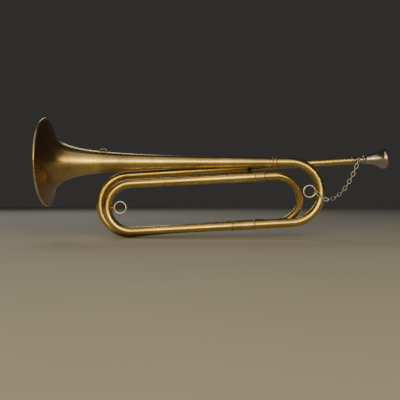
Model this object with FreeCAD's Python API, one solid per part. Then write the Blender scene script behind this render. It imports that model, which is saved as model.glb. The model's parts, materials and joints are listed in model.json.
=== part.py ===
# Infantry bugle with a pull-out tuning slide and a chained mouthpiece.
# The tube is wound one and a half times, in two flat loops that lie one behind the other.
# Origin: centre of the bell mouth.  +X runs along the bell to the mouthpiece, +Z is up,
# and the front loop lies in the plane Y = 0.  Lengths are in millimetres, angles in degrees.
import FreeCAD, Part
import math
import os

# ---- driving dimensions --------------------------------------------------------------------
WALL = 0.7                    # brass tube wall
LOOP_GAP = 15.0               # front loop to back loop, centre to centre
FRONT_TILT = 3.1              # rise of the front loop's tubes towards the mouthpiece
PIPE_TILT = 3.8               # rise of the mouthpipe

BELL_RADIUS = 57.15           # 4.5 inch bell mouth
RIM_WIRE_RADIUS = 1.3
RIM_FLAT_CUT = 0.1            # how much the rim wire is flattened at the mouth
FLARE_START = 2.0             # where the flare leaves the rim wire
FLARE_RADIUS = 56.0           # flare radius there
FLARE_CURVE = 6.7             # flare radius falls as (curve / (curve + x)) ** power
FLARE_POWER = 0.57
FLARE_END = 190.0
STEM_END = 296.0
STEM_END_RADIUS = 6.1

FRONT_RADIUS = 5.7            # outer radius of the front loop's tube
BELL_BOW_TUBE = 5.9
BELL_BOW_RADIUS = 39.3
BELL_BOW_X = 317.4
LOWER_RUN = 208.0             # bell bow to near left bow, along the front loop
NEAR_BOW_RADIUS = 30.9

SLIDE_RADIUS = 5.15           # outer radius of the moving slide tube
SLIDE_FIT = 0.05              # radial clearance of the slide in its sleeves
SLIDE_BOW_X = 297.0
SLEEVE_START_X = 240.0
SLEEVE_END_X = 284.4
SLIDE_LEG_START_X = 245.0

BACK_RADIUS = 5.4             # outer radius of the lower back tube
FAR_BOW_TUBE = 5.3
FAR_BOW_RADIUS = 38.5
FAR_BOW_CENTRE = (105.9, -55.0)
PIPE_START_RADIUS = 5.2
PIPE_END_RADIUS = 4.65
RECEIVER_START_X = 366.0
RECEIVER_END_X = 403.6
RECEIVER_RADIUS = 5.0

SHANK_DEPTH = 24.0            # mouthpiece shank inside the receiver
SHANK_TIP_RADIUS = 3.8
SHANK_MOUTH_RADIUS = 4.2
SHANK_FIT = 0.05
CUP_RIM_RADIUS = 13.4
MOUTHPIECE_REACH = 42.8       # receiver end to rim face
COLLAR_AT = 6.6               # receiver end to middle of the chain collar
COLLAR_RADIUS = 5.1
COLLAR_WIDTH = 3.0
SHANK_NECK_AT = 11.5          # receiver end to the neck of the shank
SHANK_NECK_RADIUS = 4.3
COLLAR_EYE_STANDOFF = 7.0     # shank centre to the middle of the chain's eye
COLLAR_EYE_SHIFT = 2.0        # the eye stands this much nearer the receiver than the band

RING_RADIUS = 7.6             # cord ring, to the middle of its wire
RING_WIRE = 0.9
LUG_RADIUS = 2.0
LUG_HEIGHT = 4.0
LUG_BORE = 1.15
LUG_FOOT_RADIUS = 1.6
LEFT_HINGE = (88.4, 0.0, -59.0)
RIGHT_HINGE = (348.4, -4.4, -38.0)

LINK_COUNT = 16
LINK_PITCH = 5.7
LINK_WIRE = 0.45
LINK_CROWN = 3.4              # link centre to crown wire centre
LINK_HALF_WIDTH = 2.0
CHAIN_START = (349.6, -8.3, -39.4)
CHAIN_ON_BOW_DIPS = (46.0, 40.0, 20.0)   # how steeply each link on the bow falls
CHAIN_ON_BOW_HEADING = (1.0, -0.08)  # their direction seen from above
CHAIN_FACING = (0.27, 0.96, 0.0)     # the hanging links have twisted round to face along this
CHAIN_END_PULL = (0.42, 0.13, 0.9)   # direction of the last link at the collar's eye
EYE_RADIUS = 1.9
EYE_FOOT_RADIUS = 0.75
COLLAR_FOOT_ANGLE = 53.1      # where on the collar's eye its foot stands, up from +X
EYE_GAP = 1.35                # anchor eye centre to the first pivot of the chain
COLLAR_EYE_GAP = 0.9          # last pivot to the collar's eye centre

LOWER_JOINT_X = 256.0         # bell bow to lower front tube
LOWER_FERRULE_LENGTH = 31.0
SLIDE_FERRULE_LENGTH = 14.6
STAPLE_X = 74.0
STAPLE_SPAN = 9.0
STAPLE_HEIGHT = 3.0
STAPLE_WIRE = 0.9
STAPLE_BEND = 2.2
BORE_STOCK = 1.5              # ferrule blank inside its tube's surface, cut away by the tube
BELL_FERRULE_LENGTH = 7.0
STEP_FERRULE_LENGTH = 6.0
FERRULE_WALL = 0.33           # how far a ferrule stands out from the tube inside it
BEAD_INSET = 1.3              # ferrule end to the middle of its bead
BEAD_HALF_WIDTH = 0.9
BEAD_HEIGHT = 0.55

BRACE_RADIUS = 2.1
BRACE_FOOT_RADIUS = 4.6       # at the tube centres; the tubes cut it to about 3.3
SLEEVE_BRACE_X = 264.5
BELL_BRACE_X = 205.0
LOWER_LEFT_BRACE_X = 140.0
LOWER_RIGHT_BRACE_X = 225.0

SOLVER_STEPS = 60             # rounds of each small solver below
FLARE_POINTS = 16             # spans of the flare's outline


# ---- helpers -------------------------------------------------------------------------------
def vec(x, y, z):
    return FreeCAD.Vector(x, y, z)


def heading(tilt):
    """Unit vector along +X, raised by tilt."""
    angle = math.radians(tilt)
    return vec(math.cos(angle), 0, math.sin(angle))


def upward(tilt):
    """Unit vector square to heading(tilt), on its upper side."""
    angle = math.radians(tilt)
    return vec(-math.sin(angle), 0, math.cos(angle))


def at_x(point, tilt, x):
    """Point at the given x on the line through point along heading(tilt)."""
    return point + heading(tilt) * ((x - point.x) / heading(tilt).x)


def line(start, end):
    return Part.makeLine(start, end)


def arc(start, middle, end):
    return Part.Arc(start, middle, end).toShape()


def rod(edges, radius):
    """Solid rod of one radius along tangent edges."""
    path = Part.Wire(edges)
    first = edges[0]
    start = first.valueAt(first.FirstParameter)
    tangent = first.tangentAt(first.FirstParameter)
    disc = Part.Face(Part.Wire(Part.makeCircle(radius, start, tangent)))
    return path.makePipe(disc)


def tube(edges, outer_radius, wall=WALL):
    return rod(edges, outer_radius).cut(rod(edges, outer_radius - wall))


def turned(steps, start, tilt=0.0):
    """Solid of revolution about heading(tilt) from start.

    Each step is (distance along, radius); a step with a third value is the middle of an arc
    between the steps beside it.
    """
    points = [vec(step[0], 0, step[1]) for step in steps]
    edges = []
    index = 0
    while index < len(steps):
        after = (index + 1) % len(steps)
        if len(steps[after]) == 3:
            last = (index + 2) % len(steps)
            edges.append(arc(points[index], points[after], points[last]))
            index += 2
        else:
            edges.append(line(points[index], points[after]))
            index += 1
    solid = Part.Face(Part.Wire(edges)).revolve(vec(0, 0, 0), vec(1, 0, 0), 360)
    solid.rotate(vec(0, 0, 0), vec(0, -1, 0), tilt)
    solid.translate(start)
    return solid


def cone_tube(start, tilt, length, radius_start, radius_end, wall=WALL):
    steps = [(0, radius_start), (length, radius_end), (length, radius_end - wall), (0, radius_start - wall)]
    return turned(steps, start, tilt)


def bead(middle, base):
    """Steps of one half-round bead on a ferrule."""
    low, high = middle - BEAD_HALF_WIDTH, middle + BEAD_HALF_WIDTH
    return [(low, base), (middle, base + BEAD_HEIGHT, "arc"), (high, base)]


def ferrule(start, tilt, length, bore, radius, beaded=True):
    """Ring round a joint, with a half-round bead near each end when beaded."""
    steps = [(0, bore), (0, radius)]
    if beaded:
        steps += bead(BEAD_INSET, radius) + bead(length - BEAD_INSET, radius)
    steps += [(length, radius), (length, bore)]
    return turned(steps, start, tilt)


def torus(centre, normal, radius, wire):
    return Part.makeTorus(radius, wire, centre, normal)


def post(start, end, radius):
    return Part.makeCylinder(radius, (end - start).Length, start, end - start)


# ---- layout --------------------------------------------------------------------------------
def layout():
    """Named centre-line points of the winding."""
    place = {}
    place["stem_end"] = vec(STEM_END, 0, 0)
    place["bell_bow_centre"] = vec(BELL_BOW_X, 0, -BELL_BOW_RADIUS)
    place["bell_bow_top"] = vec(BELL_BOW_X, 0, 0)
    place["bell_bow_bottom"] = place["bell_bow_centre"] - upward(FRONT_TILT) * BELL_BOW_RADIUS
    place["near_bottom"] = place["bell_bow_bottom"] - heading(FRONT_TILT) * LOWER_RUN
    place["near_centre"] = place["near_bottom"] + upward(FRONT_TILT) * NEAR_BOW_RADIUS
    place["near_top"] = place["near_centre"] + upward(FRONT_TILT) * NEAR_BOW_RADIUS

    place["slide_top"] = at_x(place["near_top"], FRONT_TILT, SLIDE_BOW_X)
    drop = upward(FRONT_TILT) * (2 * NEAR_BOW_RADIUS)
    place["slide_bottom"] = place["slide_top"] - drop + vec(0, LOOP_GAP, 0)
    place["sleeve_top"] = at_x(place["near_top"], FRONT_TILT, SLEEVE_START_X)
    place["sleeve_bottom"] = at_x(place["slide_bottom"], FRONT_TILT, SLEEVE_START_X)

    place["far_centre"] = vec(FAR_BOW_CENTRE[0], LOOP_GAP, FAR_BOW_CENTRE[1])
    place["far_top"] = place["far_centre"] + upward(PIPE_TILT) * FAR_BOW_RADIUS
    place["receiver_start"] = at_x(place["far_top"], PIPE_TILT, RECEIVER_START_X)
    place["receiver_end"] = at_x(place["far_top"], PIPE_TILT, RECEIVER_END_X)
    place["left_hinge"] = vec(*LEFT_HINGE)
    place["right_hinge"] = vec(*RIGHT_HINGE)
    return place


PLACE = layout()


def back_tilt():
    """Slope of the lower back tube where it meets the far bow.

    The tube is one long gentle arc that is tangent to the bow and to the slide's sleeve.
    """
    end = PLACE["sleeve_bottom"]
    low, high = FRONT_TILT, 3 * FRONT_TILT
    for _ in range(SOLVER_STEPS):
        tilt = (low + high) / 2
        start = PLACE["far_centre"] - upward(tilt) * FAR_BOW_RADIUS
        chord = math.degrees(math.atan2(end.z - start.z, end.x - start.x))
        if 2 * chord - FRONT_TILT > tilt:
            low = tilt
        else:
            high = tilt
    return tilt


BACK_TILT = back_tilt()


# ---- bell ----------------------------------------------------------------------------------
def flare_radius(x):
    return FLARE_RADIUS * (FLARE_CURVE / (FLARE_CURVE + x - FLARE_START)) ** FLARE_POWER


def flare_curve(offset):
    """Flare outline, moved inwards by offset square to its surface."""
    span = math.log((FLARE_CURVE + FLARE_END - FLARE_START) / FLARE_CURVE)
    points = []
    for index in range(FLARE_POINTS + 1):
        x = FLARE_START + FLARE_CURVE * (math.exp(span * index / FLARE_POINTS) - 1)
        radius = flare_radius(x)
        slope = -FLARE_POWER * radius / (FLARE_CURVE + x - FLARE_START)
        size = math.hypot(1, slope)
        points.append(vec(x + offset * slope / size, 0, radius - offset / size))
    curve = Part.BSplineCurve()
    curve.interpolate(points)
    return curve.toShape(), points[0], points[-1]


def rim_wire():
    centre_x = RIM_WIRE_RADIUS - RIM_FLAT_CUT
    ring = torus(vec(centre_x, 0, 0), vec(1, 0, 0), BELL_RADIUS - RIM_WIRE_RADIUS, RIM_WIRE_RADIUS)
    return ring.cut(Part.makeCylinder(2 * BELL_RADIUS, 5, vec(-5, 0, 0), vec(1, 0, 0)))


def bell_flare():
    outer, outer_start, outer_end = flare_curve(0)
    inner, inner_start, inner_end = flare_curve(WALL)
    edges = [outer, line(outer_end, inner_end), inner, line(inner_start, outer_start)]
    wall = Part.Face(Part.Wire(Part.__sortEdges__(edges)))
    return wall.revolve(vec(0, 0, 0), vec(1, 0, 0), 360).cut(rim_wire())


def bell_stem():
    length = STEM_END - FLARE_END
    return cone_tube(vec(FLARE_END, 0, 0), 0, length, flare_radius(FLARE_END), STEM_END_RADIUS)


def stem_core():
    """The stem's outside as one solid."""
    length = STEM_END - FLARE_END
    start = vec(FLARE_END, 0, 0)
    return Part.makeCone(flare_radius(FLARE_END), STEM_END_RADIUS, length, start, heading(0))


def bell_ferrule():
    length = BELL_FERRULE_LENGTH
    start = vec(STEM_END - length / 2, 0, 0)
    ring = ferrule(start, 0, length, STEM_END_RADIUS - BORE_STOCK, STEM_END_RADIUS + FERRULE_WALL)
    return ring.cut(stem_core()).cut(rod(bell_bow_path(), BELL_BOW_TUBE))


def bell_staple():
    """Small wire staple on top of the bell, soldered down at both ends."""
    left, right = STAPLE_X - STAPLE_SPAN / 2, STAPLE_X + STAPLE_SPAN / 2
    base = flare_radius(STAPLE_X) - 1.0
    top = flare_radius(STAPLE_X) + STAPLE_HEIGHT
    shoulder = top - STAPLE_BEND
    inset = STAPLE_BEND * (1 - math.sqrt(0.5))
    edges = [
        line(vec(left, 0, base), vec(left, 0, shoulder)),
        arc(vec(left, 0, shoulder), vec(left + inset, 0, top - inset), vec(left + STAPLE_BEND, 0, top)),
        line(vec(left + STAPLE_BEND, 0, top), vec(right - STAPLE_BEND, 0, top)),
        arc(vec(right - STAPLE_BEND, 0, top), vec(right - inset, 0, top - inset), vec(right, 0, shoulder)),
        line(vec(right, 0, shoulder), vec(right, 0, base)),
    ]
    return rod(edges, STAPLE_WIRE).cut(flare_core())


def flare_core():
    """The flare's outside as one solid."""
    outer, outer_start, outer_end = flare_curve(0)
    axis_start, axis_end = vec(outer_start.x, 0, 0), vec(outer_end.x, 0, 0)
    edges = [outer, line(outer_end, axis_end), line(axis_end, axis_start), line(axis_start, outer_start)]
    return Part.Face(Part.Wire(edges)).revolve(vec(0, 0, 0), vec(1, 0, 0), 360)


# ---- front loop ----------------------------------------------------------------------------
def bell_bow_path():
    """Stem end, round the outer right bow, and back to the lower front ferrule."""
    centre = PLACE["bell_bow_centre"]
    bottom = PLACE["bell_bow_bottom"]
    middle = centre + vec(BELL_BOW_RADIUS, 0, 0)
    return [
        line(PLACE["stem_end"], PLACE["bell_bow_top"]),
        arc(PLACE["bell_bow_top"], middle, bottom),
        line(bottom, at_x(bottom, FRONT_TILT, LOWER_JOINT_X)),
    ]


def lower_front_path():
    bottom = PLACE["bell_bow_bottom"]
    return [line(at_x(bottom, FRONT_TILT, LOWER_JOINT_X), PLACE["near_bottom"])]


def near_bow_path():
    middle = PLACE["near_centre"] - heading(FRONT_TILT) * NEAR_BOW_RADIUS
    return [arc(PLACE["near_bottom"], middle, PLACE["near_top"])]


def upper_front_path():
    return [line(PLACE["near_top"], PLACE["sleeve_top"])]


def lower_front_ferrule():
    start = at_x(PLACE["bell_bow_bottom"], FRONT_TILT, LOWER_JOINT_X - LOWER_FERRULE_LENGTH / 2)
    length = LOWER_FERRULE_LENGTH
    ring = ferrule(start, FRONT_TILT, length, FRONT_RADIUS - BORE_STOCK, BELL_BOW_TUBE + FERRULE_WALL)
    return ring.cut(rod(bell_bow_path(), BELL_BOW_TUBE)).cut(rod(lower_front_path(), FRONT_RADIUS))


# ---- tuning slide --------------------------------------------------------------------------
def sleeve_radius():
    return SLIDE_RADIUS + SLIDE_FIT + WALL


def slide_sleeve(start):
    end = at_x(start, FRONT_TILT, SLEEVE_END_X)
    return tube([line(start, end)], sleeve_radius(), WALL)


def slide_ferrule(start):
    """Ridged ring at the mouth of a slide sleeve."""
    first = at_x(start, FRONT_TILT, SLEEVE_END_X - SLIDE_FERRULE_LENGTH)
    outer = sleeve_radius() + FERRULE_WALL
    return ferrule(first, FRONT_TILT, SLIDE_FERRULE_LENGTH, sleeve_radius(), outer)


def tube_step_ferrule(start, tube_rod):
    """Collar where a plain tube meets the slide sleeve."""
    length = STEP_FERRULE_LENGTH
    first = start - heading(FRONT_TILT) * (length / 2)
    outer = sleeve_radius() + FERRULE_WALL
    ring = ferrule(first, FRONT_TILT, length, BACK_RADIUS - BORE_STOCK, outer, beaded=False)
    sleeve = Part.makeCylinder(sleeve_radius(), length, start, heading(FRONT_TILT))
    return ring.cut(tube_rod).cut(sleeve)


def slide_bow():
    top, bottom = PLACE["slide_top"], PLACE["slide_bottom"]
    radius = (top - bottom).Length / 2
    middle = (top + bottom) * 0.5 + heading(FRONT_TILT) * radius
    return tube([arc(bottom, middle, top)], SLIDE_RADIUS)


def slide_leg(end):
    return tube([line(at_x(end, FRONT_TILT, SLIDE_LEG_START_X), end)], SLIDE_RADIUS)


# ---- back loop -----------------------------------------------------------------------------
def lower_back_path():
    start = PLACE["far_centre"] - upward(BACK_TILT) * FAR_BOW_RADIUS
    end = PLACE["sleeve_bottom"]
    chord = end - start
    middle_tilt = math.degrees(math.atan2(chord.z, chord.x))
    turn = math.radians(BACK_TILT - middle_tilt)
    sag = chord.Length / 2 * math.tan(turn / 2)
    return [arc(start, (start + end) * 0.5 + upward(middle_tilt) * sag, end)]


def far_bow_path():
    centre = PLACE["far_centre"]
    bottom = centre - upward(BACK_TILT) * FAR_BOW_RADIUS
    middle = centre - heading((BACK_TILT + PIPE_TILT) / 2) * FAR_BOW_RADIUS
    return [arc(PLACE["far_top"], middle, bottom)]


def mouthpipe():
    length = (PLACE["receiver_start"] - PLACE["far_top"]).Length
    return cone_tube(PLACE["far_top"], PIPE_TILT, length, PIPE_START_RADIUS, PIPE_END_RADIUS)


def pipe_core():
    """The mouthpipe's outside as one solid, for shaping the parts soldered to it."""
    length = (PLACE["receiver_start"] - PLACE["far_top"]).Length
    return Part.makeCone(PIPE_START_RADIUS, PIPE_END_RADIUS, length, PLACE["far_top"], heading(PIPE_TILT))


def receiver():
    """Socket for the mouthpiece, with a taper bore and a bead at its mouth."""
    length = (PLACE["receiver_end"] - PLACE["receiver_start"]).Length
    taper_start = length - SHANK_DEPTH - 2.0
    tip = SHANK_TIP_RADIUS + SHANK_FIT
    steps = [
        (0, PIPE_END_RADIUS - WALL), (0, PIPE_END_RADIUS), (1.0, RECEIVER_RADIUS),
        (length - 3.0, RECEIVER_RADIUS), (length - 1.9, RECEIVER_RADIUS + 0.5, "arc"),
        (length - 0.8, RECEIVER_RADIUS), (length, RECEIVER_RADIUS - 0.2),
        (length, SHANK_MOUTH_RADIUS + SHANK_FIT), (taper_start + 2.0, tip), (taper_start, tip),
        (taper_start - 3.0, PIPE_END_RADIUS - WALL),
    ]
    return turned(steps, PLACE["receiver_start"], PIPE_TILT)


# ---- mouthpiece ----------------------------------------------------------------------------
def mouthpiece():
    """Cornet-style cup on a taper shank; zero is the mouth of the receiver."""
    reach = MOUTHPIECE_REACH
    rim = CUP_RIM_RADIUS
    steps = [
        (-SHANK_DEPTH, 2.9), (-SHANK_DEPTH, SHANK_TIP_RADIUS), (0, SHANK_MOUTH_RADIUS),
        (SHANK_NECK_AT, SHANK_NECK_RADIUS),
        (12.3, 5.0), (13.3, 5.7, "arc"), (14.3, 5.2), (15.2, 5.1), (16.0, 5.6),
        (22.6, 6.4), (30.4, 9.1, "arc"), (37.2, rim - 0.6),
        (38.9, rim - 0.2), (40.4, rim, "arc"), (41.9, rim - 0.5), (reach, rim - 2.6, "arc"),
        (reach - 1.0, rim - 4.7), (31.0, 6.1, "arc"), (13.0, 2.0),
    ]
    return turned(steps, PLACE["receiver_end"], PIPE_TILT)


def shank_core():
    """The shank's outside between the receiver and its neck."""
    start = PLACE["receiver_end"]
    radii = (SHANK_MOUTH_RADIUS, SHANK_NECK_RADIUS)
    return Part.makeCone(*radii, SHANK_NECK_AT, start, heading(PIPE_TILT))


def collar_centre():
    return PLACE["receiver_end"] + heading(PIPE_TILT) * COLLAR_AT


def mouthpiece_collar():
    """Band round the shank with an eye that stands in front of it for the chain."""
    start = collar_centre() - heading(PIPE_TILT) * (COLLAR_WIDTH / 2)
    bore = SHANK_MOUTH_RADIUS - BORE_STOCK
    band = ferrule(start, PIPE_TILT, COLLAR_WIDTH, bore, COLLAR_RADIUS, beaded=False)
    foot_at = chain_end_eye() + heading(COLLAR_FOOT_ANGLE) * EYE_RADIUS
    foot = post(foot_at, vec(collar_centre().x, LOOP_GAP, foot_at.z), EYE_FOOT_RADIUS)
    return chain_eye_ring(chain_end_eye(), vec(0, 1, 0)).fuse(foot).fuse(band).cut(shank_core())


# ---- chain ---------------------------------------------------------------------------------
def chain_end_eye():
    return collar_centre() + vec(-COLLAR_EYE_SHIFT, -COLLAR_EYE_STANDOFF, 0)


def hanging_points(start, end, count):
    """Pivots of a chain of equal links hung from start to end.

    The slope of the links grows by an equal step from one to the next, as a chain's does.
    """
    across = vec(end.x - start.x, end.y - start.y, 0)
    width, rise = across.Length, end.z - start.z
    across.normalize()

    def ends(first, step):
        angles = [math.atan(first + step * index) for index in range(count)]
        return (
            LINK_PITCH * sum(math.cos(angle) for angle in angles) - width,
            LINK_PITCH * sum(math.sin(angle) for angle in angles) - rise,
        )

    first, step, small = -0.3, 0.2, 1e-5
    for _ in range(SOLVER_STEPS):
        wide, high = ends(first, step)
        wide_a, high_a = ends(first + small, step)
        wide_b, high_b = ends(first, step + small)
        a, b = (wide_a - wide) / small, (wide_b - wide) / small
        c, d = (high_a - high) / small, (high_b - high) / small
        det = a * d - b * c
        first -= 0.5 * (d * wide - b * high) / det
        step -= 0.5 * (a * high - c * wide) / det
    points = [start]
    for index in range(count):
        angle = math.atan(first + step * index)
        move = across * math.cos(angle) + vec(0, 0, math.sin(angle))
        points.append(points[-1] + move * LINK_PITCH)
    return points


def chain_points():
    """All the chain's pivots, from the eye on the bell bow to the eye on the collar."""
    points = [vec(*CHAIN_START)]
    across = vec(CHAIN_ON_BOW_HEADING[0], CHAIN_ON_BOW_HEADING[1], 0).normalize()
    for dip in CHAIN_ON_BOW_DIPS:
        angle = math.radians(dip)
        points.append(points[-1] + (across * math.cos(angle) - vec(0, 0, math.sin(angle))) * LINK_PITCH)
    end = chain_end_eye() - vec(*CHAIN_END_PULL).normalize() * COLLAR_EYE_GAP
    return points[:-1] + hanging_points(points[-1], end, LINK_COUNT - len(CHAIN_ON_BOW_DIPS))


def chain_frames(points):
    """For each link: its centre, its direction and the way that its face would look.

    The links on the bow face square to the chain's span, and the hanging ones CHAIN_FACING.
    """
    on_bow = len(CHAIN_ON_BOW_DIPS)
    span = points[-1] - points[on_bow]
    frames = []
    for index, (start, end) in enumerate(zip(points, points[1:])):
        facing = vec(-span.y, span.x, 0) if index < on_bow else vec(*CHAIN_FACING)
        ahead = (end - start).normalize()
        side = (facing - ahead * facing.dot(ahead)).normalize()
        frames.append(((start + end) * 0.5, ahead, side))
    return frames


def chain_link(centre, ahead, normal):
    """Oval wire link in the plane square to normal."""
    wide = normal.cross(ahead)
    turn_at = LINK_CROWN - LINK_HALF_WIDTH

    def corner(along, sideways):
        return centre + ahead * along + wide * sideways

    half = LINK_HALF_WIDTH
    edges = [
        line(corner(-turn_at, -half), corner(turn_at, -half)),
        arc(corner(turn_at, -half), corner(LINK_CROWN, 0), corner(turn_at, half)),
        line(corner(turn_at, half), corner(-turn_at, half)),
        arc(corner(-turn_at, half), corner(-LINK_CROWN, 0), corner(-turn_at, -half)),
    ]
    return rod(edges, LINK_WIRE)


def chain_eye_ring(centre, normal):
    return torus(centre, normal, EYE_RADIUS, LINK_WIRE)


CHAIN_POINTS = chain_points()
CHAIN_FRAMES = chain_frames(CHAIN_POINTS)


def link_solid(index):
    """Links stand face-on and edge-on by turns."""
    centre, ahead, side = CHAIN_FRAMES[index]
    if index % 2 == 1:
        return chain_link(centre, ahead, side.cross(ahead))
    return chain_link(centre, ahead, side)


def chain_anchor():
    """Eye for the chain's fixed end, soldered to the front of the right ring's lug."""
    ahead, side = CHAIN_FRAMES[0][1:]
    eye_centre = CHAIN_POINTS[0] - ahead * EYE_GAP
    hinge = PLACE["right_hinge"]
    barrel = Part.makeCylinder(LUG_RADIUS, LUG_HEIGHT, hinge - vec(0, 0, LUG_HEIGHT / 2))
    foot = post(eye_centre + side * EYE_RADIUS, vec(hinge.x, hinge.y, eye_centre.z), EYE_FOOT_RADIUS)
    return chain_eye_ring(eye_centre, side.cross(ahead)).fuse(foot).cut(barrel)


def bow_centre_at(z):
    """Centre of the bell bow's tube on its outer side, at height z."""
    centre = PLACE["bell_bow_centre"]
    return vec(centre.x + math.sqrt(BELL_BOW_RADIUS ** 2 - (z - centre.z) ** 2), 0, z)


# ---- cord rings ----------------------------------------------------------------------------
def ring_lug(hinge, bow_point, bow_rod):
    """Upright bored barrel on a foot that is soldered to the inside of a bow."""
    barrel = Part.makeCylinder(LUG_RADIUS, LUG_HEIGHT, hinge - vec(0, 0, LUG_HEIGHT / 2))
    foot = post(hinge, bow_point, LUG_FOOT_RADIUS)
    bore = Part.makeCylinder(LUG_BORE, 3 * LUG_HEIGHT, hinge - vec(0, 0, 1.5 * LUG_HEIGHT))
    return barrel.fuse(foot).cut(bow_rod).cut(bore)


def left_ring_lug():
    point = PLACE["near_centre"] - heading(FRONT_TILT) * NEAR_BOW_RADIUS
    return ring_lug(PLACE["left_hinge"], point, rod(near_bow_path(), FRONT_RADIUS))


def right_ring_lug():
    hinge = PLACE["right_hinge"]
    return ring_lug(hinge, bow_centre_at(hinge.z), rod(bell_bow_path(), BELL_BOW_TUBE))


def cord_ring(hinge, side):
    """Ring through a lug's upright bore; side is +1 when it lies towards +X."""
    sag = LUG_HEIGHT ** 2 / 8 / RING_RADIUS / 2
    centre = hinge + vec(side * (RING_RADIUS - sag), 0, 0)
    return torus(centre, vec(0, 1, 0), RING_RADIUS, RING_WIRE)


# ---- braces --------------------------------------------------------------------------------
def brace(start, end, tools):
    """Waisted post between two tubes, wider where its ends are soldered down."""
    length = (end - start).Length
    waist, foot = BRACE_RADIUS, BRACE_FOOT_RADIUS
    outline = [vec(0, 0, 0), vec(foot, 0, 0), vec(foot, 0, length), vec(0, 0, length)]
    bow = arc(outline[1], vec(waist, 0, length / 2), outline[2])
    edges = [line(outline[0], outline[1]), bow, line(outline[2], outline[3]), line(outline[3], outline[0])]
    solid = Part.Face(Part.Wire(edges)).revolve(vec(0, 0, 0), vec(0, 0, 1), 360)
    solid.Placement = FreeCAD.Placement(start, FreeCAD.Rotation(vec(0, 0, 1), end - start))
    for tool in tools:
        solid = solid.cut(tool)
    return solid


def pipe_point(x):
    return at_x(PLACE["far_top"], PIPE_TILT, x)


def sleeve_brace():
    start = at_x(PLACE["near_top"], FRONT_TILT, SLEEVE_BRACE_X)
    length = SLEEVE_END_X - SLEEVE_START_X
    sleeve = Part.makeCylinder(sleeve_radius(), length, PLACE["sleeve_top"], heading(FRONT_TILT))
    return brace(start, pipe_point(SLEEVE_BRACE_X), [sleeve, pipe_core()])


def bell_brace():
    return brace(vec(BELL_BRACE_X, 0, 0), pipe_point(BELL_BRACE_X), [stem_core(), pipe_core()])


def lower_brace(x):
    start = at_x(PLACE["bell_bow_bottom"], FRONT_TILT, x)
    path = lower_back_path()[0]
    tools = [rod(lower_front_path(), FRONT_RADIUS), rod([path], BACK_RADIUS)]
    share = (x - path.Vertexes[0].X) / (path.Vertexes[-1].X - path.Vertexes[0].X)
    end = path.valueAt(path.FirstParameter + share * (path.LastParameter - path.FirstParameter))
    return brace(start, end, tools)


# ---- assembly ------------------------------------------------------------------------------
def build_nodes():
    place = PLACE
    upper_rod = rod(upper_front_path(), FRONT_RADIUS)
    lower_rod = rod(lower_back_path(), BACK_RADIUS)
    nodes = {
        "bell_rim_wire": rim_wire(),
        "bell_flare": bell_flare(),
        "bell_stem": bell_stem(),
        "bell_staple": bell_staple(),
        "bell_ferrule": bell_ferrule(),
        "bell_bow": tube(bell_bow_path(), BELL_BOW_TUBE),
        "lower_front_ferrule": lower_front_ferrule(),
        "lower_front_tube": tube(lower_front_path(), FRONT_RADIUS),
        "near_left_bow": tube(near_bow_path(), FRONT_RADIUS),
        "upper_front_tube": tube(upper_front_path(), FRONT_RADIUS),
        "upper_step_ferrule": tube_step_ferrule(place["sleeve_top"], upper_rod),
        "upper_slide_sleeve": slide_sleeve(place["sleeve_top"]),
        "upper_slide_ferrule": slide_ferrule(place["sleeve_top"]),
        "tuning_slide_bow": slide_bow(),
        "tuning_slide_upper_leg": slide_leg(place["slide_top"]),
        "tuning_slide_lower_leg": slide_leg(place["slide_bottom"]),
        "lower_slide_ferrule": slide_ferrule(place["sleeve_bottom"]),
        "lower_slide_sleeve": slide_sleeve(place["sleeve_bottom"]),
        "lower_step_ferrule": tube_step_ferrule(place["sleeve_bottom"], lower_rod),
        "lower_back_tube": tube(lower_back_path(), BACK_RADIUS),
        "far_left_bow": tube(far_bow_path(), FAR_BOW_TUBE),
        "mouthpipe": mouthpipe(),
        "mouthpipe_receiver": receiver(),
        "mouthpiece": mouthpiece(),
        "mouthpiece_collar": mouthpiece_collar(),
        "left_ring_lug": left_ring_lug(),
        "right_ring_lug": right_ring_lug(),
        "left_cord_ring": cord_ring(place["left_hinge"], 1),
        "right_cord_ring": cord_ring(place["right_hinge"], -1),
        "chain_anchor": chain_anchor(),
        "sleeve_brace": sleeve_brace(),
        "bell_brace": bell_brace(),
        "lower_left_brace": lower_brace(LOWER_LEFT_BRACE_X),
        "lower_right_brace": lower_brace(LOWER_RIGHT_BRACE_X),
    }
    for index in range(LINK_COUNT):
        nodes[f"chain_link_{index + 1:02d}"] = link_solid(index)
    return nodes


def main():
    os.makedirs("parts", exist_ok=True)
    for name, shape in build_nodes().items():
        shape.exportStep(f"parts/{name}.step")


main()
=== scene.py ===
"""Looks of a long-belled infantry bugle: aged brass, nickel rings and chain, in a plain studio."""

import json
import math

import bpy
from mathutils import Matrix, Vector


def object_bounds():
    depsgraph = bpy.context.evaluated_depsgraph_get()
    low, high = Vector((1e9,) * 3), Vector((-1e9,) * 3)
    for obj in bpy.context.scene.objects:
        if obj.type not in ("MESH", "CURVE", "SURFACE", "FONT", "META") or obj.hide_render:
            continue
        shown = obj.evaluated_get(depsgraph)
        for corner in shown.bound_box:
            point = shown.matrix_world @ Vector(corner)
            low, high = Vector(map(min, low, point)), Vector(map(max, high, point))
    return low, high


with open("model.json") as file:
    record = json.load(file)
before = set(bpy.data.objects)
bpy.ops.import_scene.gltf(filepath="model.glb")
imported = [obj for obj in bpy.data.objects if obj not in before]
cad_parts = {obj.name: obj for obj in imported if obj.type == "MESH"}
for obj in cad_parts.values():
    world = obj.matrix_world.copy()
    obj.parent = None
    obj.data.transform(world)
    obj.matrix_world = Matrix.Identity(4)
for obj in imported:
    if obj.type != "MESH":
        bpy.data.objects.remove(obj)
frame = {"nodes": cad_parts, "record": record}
cad_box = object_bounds()

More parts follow.
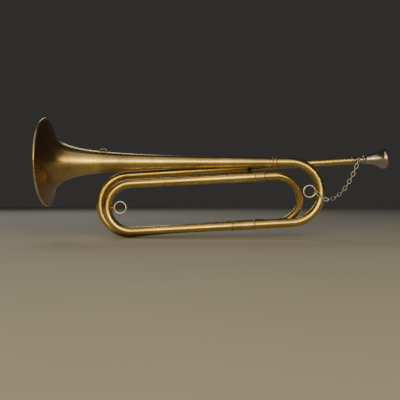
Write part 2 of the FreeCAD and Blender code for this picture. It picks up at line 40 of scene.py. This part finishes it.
# ---- the stage: camera, floor, lights (metres) ---------------------------------------------
CAMERA_PLACE = (0.1996, -0.670, -0.0492)
CAMERA_LENS_MM = 46.41
CAMERA_SENSOR_MM = 36.0
CAMERA_NEAR = 0.01

FLOOR_GAP = 0.0002            # under the bows, which the bugle stands on
FLOOR_SIZE = 6.0
FLOOR_DARK = (0.60, 0.59, 0.57)
FLOOR_LIGHT = (0.66, 0.65, 0.63)
FLOOR_CLOUDS, FLOOR_BAND = (3, 3), (0.3, 0.7)
FLOOR_ROUGHNESS = 0.9

SOFT_WHITE = (1.0, 0.97, 0.93)
WARM_WHITE = (1.0, 0.94, 0.84)
PALE_YELLOW = (1.0, 0.90, 0.66)
WARM_YELLOW = (1.0, 0.81, 0.31)

OBJECT_MIDDLE = (0.20, 0.0, -0.04)
PANEL_DISTANCE = 1.5          # from the object's middle to each front panel
# name, elevation in degrees, (width, height), brightness, colour
FRONT_PANELS = [
    ("front_level", 3, (1.5, 0.24), 1.6, WARM_YELLOW),
    ("front_tall", 8, (0.34, 0.50), 3.4, WARM_YELLOW),
    ("front_low", 13, (1.5, 0.20), 7.6, WARM_YELLOW),
    ("front_middle", 30, (1.1, 0.60), 1.3, PALE_YELLOW),
    ("front_high", 60, (0.7, 0.90), 0.5, WARM_WHITE),
]
# behind and at the left: name, place, (width, height), power in watts
OTHER_PANELS = [
    ("back_panel", (-0.45, 1.35, 1.15), (1.0, 0.7), 3.6),
    ("left_panel", (-1.30, 0.20, 0.60), (0.9, 0.6), 2.2),
]
ROOM_COLOUR = (0.80, 0.76, 0.70, 1)
ROOM_BRIGHTNESS = 0.045


def add_camera():
    """Level camera that looks along +Y."""
    data = bpy.data.cameras.new("camera")
    data.lens = CAMERA_LENS_MM
    data.sensor_width = CAMERA_SENSOR_MM
    data.clip_start = CAMERA_NEAR
    camera = bpy.data.objects.new("camera", data)
    camera.location = CAMERA_PLACE
    camera.rotation_euler = (math.radians(90), 0, 0)
    bpy.context.collection.objects.link(camera)
    bpy.context.scene.camera = camera


def add_light(name, place, size, power, colour):
    """Soft rectangular lamp turned to the object; size is (width, height)."""
    data = bpy.data.lights.new(name, "AREA")
    data.shape = "RECTANGLE"
    data.size, data.size_y = size
    data.energy = power
    data.color = colour
    lamp = bpy.data.objects.new(name, data)
    lamp.location = place
    aim = Vector(OBJECT_MIDDLE) - Vector(place)
    lamp.rotation_euler = aim.to_track_quat("-Z", "Y").to_euler()
    bpy.context.collection.objects.link(lamp)


def add_lights():
    """Panels stacked in front, brightest low down and dimmer towards the top, and two elsewhere."""
    for name, elevation, (width, height), brightness, colour in FRONT_PANELS:
        angle = math.radians(elevation)
        away = Vector((0, -math.cos(angle), math.sin(angle)))
        place = Vector(OBJECT_MIDDLE) + PANEL_DISTANCE * away
        add_light(name, place, (width, height), math.pi * width * height * brightness, colour)
    for name, place, size, power in OTHER_PANELS:
        add_light(name, place, size, power, SOFT_WHITE)
    world = bpy.data.worlds.new("studio")
    world.use_nodes = True
    background = world.node_tree.nodes["Background"]
    background.inputs["Color"].default_value = ROOM_COLOUR
    background.inputs["Strength"].default_value = ROOM_BRIGHTNESS
    bpy.context.scene.world = world


# ---- node graphs ---------------------------------------------------------------------------
class Graph:
    """A material's node tree, with one short call for each kind of node."""

    def __init__(self, name):
        self.material = bpy.data.materials.new(name)
        self.material.use_nodes = True
        self.nodes = self.material.node_tree.nodes
        self.links = self.material.node_tree.links
        self.shader = self.nodes["Principled BSDF"]
        self.place = self.nodes.new("ShaderNodeTexCoord").outputs["Object"]

    def join(self, output, node, slot):
        self.links.new(output, node.inputs[slot])

    def stretch(self, scale):
        """The place, scaled along X, Y and Z."""
        node = self.nodes.new("ShaderNodeMapping")
        node.inputs["Scale"].default_value = scale
        self.join(self.place, node, "Vector")
        return node.outputs["Vector"]

    def noise(self, scale, detail=4.0, roughness=0.55, distortion=0.0, vector=None):
        node = self.nodes.new("ShaderNodeTexNoise")
        node.inputs["Scale"].default_value = scale
        node.inputs["Detail"].default_value = detail
        node.inputs["Roughness"].default_value = roughness
        node.inputs["Distortion"].default_value = distortion
        self.join(vector or self.place, node, "Vector")
        return node.outputs["Fac"]

    def specks(self, scale):
        """Distance to the nearest of many scattered points."""
        node = self.nodes.new("ShaderNodeTexVoronoi")
        node.inputs["Scale"].default_value = scale
        self.join(self.place, node, "Vector")
        return node.outputs["Distance"]

    def crevices(self, reach):
        """One on open surfaces, towards zero where others stand close by."""
        node = self.nodes.new("ShaderNodeAmbientOcclusion")
        node.samples = CREVICE_SAMPLES
        node.inputs["Distance"].default_value = reach
        return node.outputs["AO"]

    def axis(self, name):
        """One coordinate of the place: X, Y or Z."""
        node = self.nodes.new("ShaderNodeSeparateXYZ")
        self.join(self.place, node, "Vector")
        return node.outputs[name]

    def remap(self, value, band, to_low=0.0, to_high=1.0):
        """to_low at the band's first number, to_high at its second, and held beyond them."""
        node = self.nodes.new("ShaderNodeMapRange")
        for slot, number in zip(("From Min", "From Max", "To Min", "To Max"), (*band, to_low, to_high)):
            node.inputs[slot].default_value = number
        self.join(value, node, "Value")
        return node.outputs["Result"]

    def plus(self, base, value, factor):
        """base + value * factor"""
        node = self.nodes.new("ShaderNodeMath")
        node.operation = "MULTIPLY_ADD"
        self.join(value, node, 0)
        node.inputs[1].default_value = factor
        self.join(base, node, 2)
        return node.outputs["Value"]

    def times(self, first, second):
        node = self.nodes.new("ShaderNodeMath")
        node.operation = "MULTIPLY"
        self.join(first, node, 0)
        self.join(second, node, 1)
        return node.outputs["Value"]

    def ramp(self, value, band, dark, light):
        """dark at the band's first number, light at its second."""
        node = self.nodes.new("ShaderNodeValToRGB")
        for element, position, colour in zip(node.color_ramp.elements, band, (dark, light)):
            element.position = position
            element.color = (*colour, 1)
        self.join(value, node, "Fac")
        return node.outputs["Color"]

    def blend(self, amount, first, colour):
        """Mix a fixed colour over the first one."""
        node = self.nodes.new("ShaderNodeMix")
        node.data_type = "RGBA"
        node.inputs["B"].default_value = (*colour, 1)
        self.join(amount, node, "Factor")
        self.join(first, node, "A")
        return node.outputs["Result"]

    def bump(self, height, depth, below=None):
        node = self.nodes.new("ShaderNodeBump")
        node.inputs["Strength"].default_value = 1.0
        node.inputs["Distance"].default_value = depth
        self.join(height, node, "Height")
        if below:
            self.join(below, node, "Normal")
        return node.outputs["Normal"]


# ---- materials -----------------------------------------------------------------------------
GOLD = (0.82, 0.62, 0.235)
OLD_GOLD = (0.57, 0.42, 0.175)
DULL_GOLD = (0.50, 0.36, 0.18)
PATINA = (0.36, 0.21, 0.13)
DARK_BROWN = (0.16, 0.075, 0.028)

# A noise is (scale in cells to a metre, detail, roughness, distortion), the last ones optional.
# A band is two values of what it follows: no effect at the first, the whole effect at the second.
# PATCH_LEAST, STAIN_MOST and FLUSH_MOST are the least or most that each one covers.
CLOUDS, CLOUD_BAND = (24, 5, 0.6), (0.34, 0.66)
PATCHES, PATCH_BAND, PATCH_LEAST = (30, 4, 0.6), (0.25, 0.60), 0.6
STAINS, STAIN_BAND, STAIN_MOST = (75, 5, 0.65, 0.6), (0.56, 0.76), 0.35
CLUSTERS, CLUSTER_BAND = (35,), (0.52, 0.60)
HAZE, HAZE_BAND = (60, 5, 0.65), (0.3, 0.7)
MARKS, SCUFF_BAND = (90, 4, 0.7), (0.55, 0.75)
DENTS = (26, 2, 0.4)
SPECK_SCALE = 420
SPECK_BAND = (0.16, 0.06)     # distance from a speck's middle, in cells
FLUSH_MOST = 0.92

# Painted shade in the crevices, standing in also for grime: how far the occlusion node looks, its
# samples, and the band of openness over which the colour darkens.
CREVICE_REACH = 0.011         # metres
CREVICE_SAMPLES = 8
CREVICE_BAND = (0.86, 0.40)   # how open the surface is

SCUFF_HAZE = 0.12             # what scuffs and the crevice mask add to the roughness
CREVICE_HAZE = 0.20
MARK_DEPTH = 0.0000015        # metres
SHALLOW_DENTS = 0.00016
DEEP_DENTS = 0.0004

ALL_WAYS = (1, 1, 1)          # how fine the wiping marks are along X, Y and Z
ALONG = (0.25, 3, 3)
AROUND = (3, 1, 1)


def metal(name, light, dark, stain_and_shade=DARK_BROWN, gloss=(0.20, 0.32), wipe=ALL_WAYS,
          dents=SHALLOW_DENTS, flush=None, shade_and_grime_most=0.85):
    """Old polished metal.

    Cloudy colour from dark to light, with stains and specks in the stain and shade colour.  Painted
    shade of that colour darkens the crevices where other parts stand close, standing in also for
    grime, at most as strong as the shade and grime amount.  Its roughness lies between the two in
    gloss, and wiping marks and the crevice mask add to it.  wipe is how fine the marks are along each
    axis, and dents is how deep the broad dents are.  flush is an optional (colour, start, end): a tint
    that fades along X.
    """
    graph = Graph(name)
    shader = graph.shader
    colour = graph.ramp(graph.noise(*CLOUDS), CLOUD_BAND, dark, light)
    if flush:
        tint, start, end = flush
        near = graph.remap(graph.axis("X"), (start, end), FLUSH_MOST, 0.0)
        patches = graph.remap(graph.noise(*PATCHES), PATCH_BAND, PATCH_LEAST, 1.0)
        colour = graph.blend(graph.times(near, patches), colour, tint)
    marks = graph.noise(*MARKS, vector=graph.stretch(wipe))
    stains = graph.remap(graph.noise(*STAINS), STAIN_BAND, 0.0, STAIN_MOST)
    colour = graph.blend(stains, colour, stain_and_shade)
    specks = graph.remap(graph.specks(SPECK_SCALE), SPECK_BAND)
    clusters = graph.remap(graph.noise(*CLUSTERS), CLUSTER_BAND)
    colour = graph.blend(graph.times(specks, clusters), colour, stain_and_shade)
    # Painted shade: the colour darkens towards the stain and shade colour where other parts stand
    # close, from an ambient occlusion node; it stands in also for grime.
    shade_and_grime = graph.remap(graph.crevices(CREVICE_REACH), CREVICE_BAND, 0.0, shade_and_grime_most)
    colour = graph.blend(shade_and_grime, colour, stain_and_shade)
    graph.join(colour, shader, "Base Color")
    shader.inputs["Metallic"].default_value = 1.0

    haze = graph.remap(graph.noise(*HAZE), HAZE_BAND, *gloss)
    scuffed = graph.plus(haze, graph.remap(marks, SCUFF_BAND), SCUFF_HAZE)
    graph.join(graph.plus(scuffed, shade_and_grime, CREVICE_HAZE), shader, "Roughness")

    broad = graph.bump(graph.noise(*DENTS), dents)
    graph.join(graph.bump(marks, MARK_DEPTH, broad), shader, "Normal")
    return graph.material


FINISHES = {
    "aged_brass": dict(light=GOLD, dark=OLD_GOLD, wipe=ALONG),
    "bell_brass": dict(light=GOLD, dark=DULL_GOLD, gloss=(0.22, 0.34), wipe=ALONG, dents=DEEP_DENTS,
                       flush=(PATINA, 0.006, 0.058)),
    "bow_brass": dict(light=GOLD, dark=OLD_GOLD),
    "brass_fittings": dict(light=(0.74, 0.58, 0.27), dark=(0.46, 0.33, 0.16), gloss=(0.24, 0.38),
                           wipe=AROUND),
    "rim_brass": dict(light=(0.90, 0.74, 0.42), dark=(0.64, 0.48, 0.26), gloss=(0.22, 0.34)),
    "slide_brass": dict(light=(0.76, 0.57, 0.25), dark=(0.50, 0.36, 0.16)),
    "dull_solder": dict(light=(0.46, 0.40, 0.29), dark=(0.24, 0.19, 0.12), stain_and_shade=(0.07, 0.05, 0.03),
                        gloss=(0.36, 0.50)),
    "nickel": dict(light=(0.90, 0.93, 0.98), dark=(0.74, 0.76, 0.80), stain_and_shade=(0.24, 0.20, 0.17),
                   gloss=(0.30, 0.42), shade_and_grime_most=0.4),
    "mouthpiece_plate": dict(light=(0.84, 0.76, 0.76), dark=(0.56, 0.47, 0.46),
                             stain_and_shade=(0.16, 0.10, 0.07), gloss=(0.13, 0.24)),
}

# nodes whose finish isn't that of their material slot
OWN_FINISH = {
    "bell_flare": "bell_brass",
    "bell_stem": "bell_brass",
    "bell_bow": "bow_brass",
    "near_left_bow": "bow_brass",
    "far_left_bow": "bow_brass",
    "bell_rim_wire": "rim_brass",
    "bell_staple": "dull_solder",
    "bell_brace": "dull_solder",
    "sleeve_brace": "dull_solder",
    "lower_left_brace": "dull_solder",
    "lower_right_brace": "dull_solder",
}


def dress_cad_nodes():
    materials = {name: metal(name, **finish) for name, finish in FINISHES.items()}
    slots = {part["node"]: part["material_slot"] for part in frame["record"]["subparts"]}
    for node, obj in frame["nodes"].items():
        obj.data.materials.clear()
        obj.data.materials.append(materials[OWN_FINISH.get(node, slots[node])])


def add_floor():
    half, level = FLOOR_SIZE / 2, cad_box[0][2] - FLOOR_GAP
    corners = [(-half, -half, level), (half, -half, level), (half, half, level), (-half, half, level)]
    mesh = bpy.data.meshes.new("floor")
    mesh.from_pydata(corners, [], [(0, 1, 2, 3)])
    floor = bpy.data.objects.new("floor", mesh)
    bpy.context.collection.objects.link(floor)
    graph = Graph("floor_paper")
    paper = graph.ramp(graph.noise(*FLOOR_CLOUDS), FLOOR_BAND, FLOOR_DARK, FLOOR_LIGHT)
    graph.join(paper, graph.shader, "Base Color")
    graph.shader.inputs["Roughness"].default_value = FLOOR_ROUGHNESS
    mesh.materials.append(graph.material)


add_camera()
add_floor()
add_lights()
dress_cad_nodes()
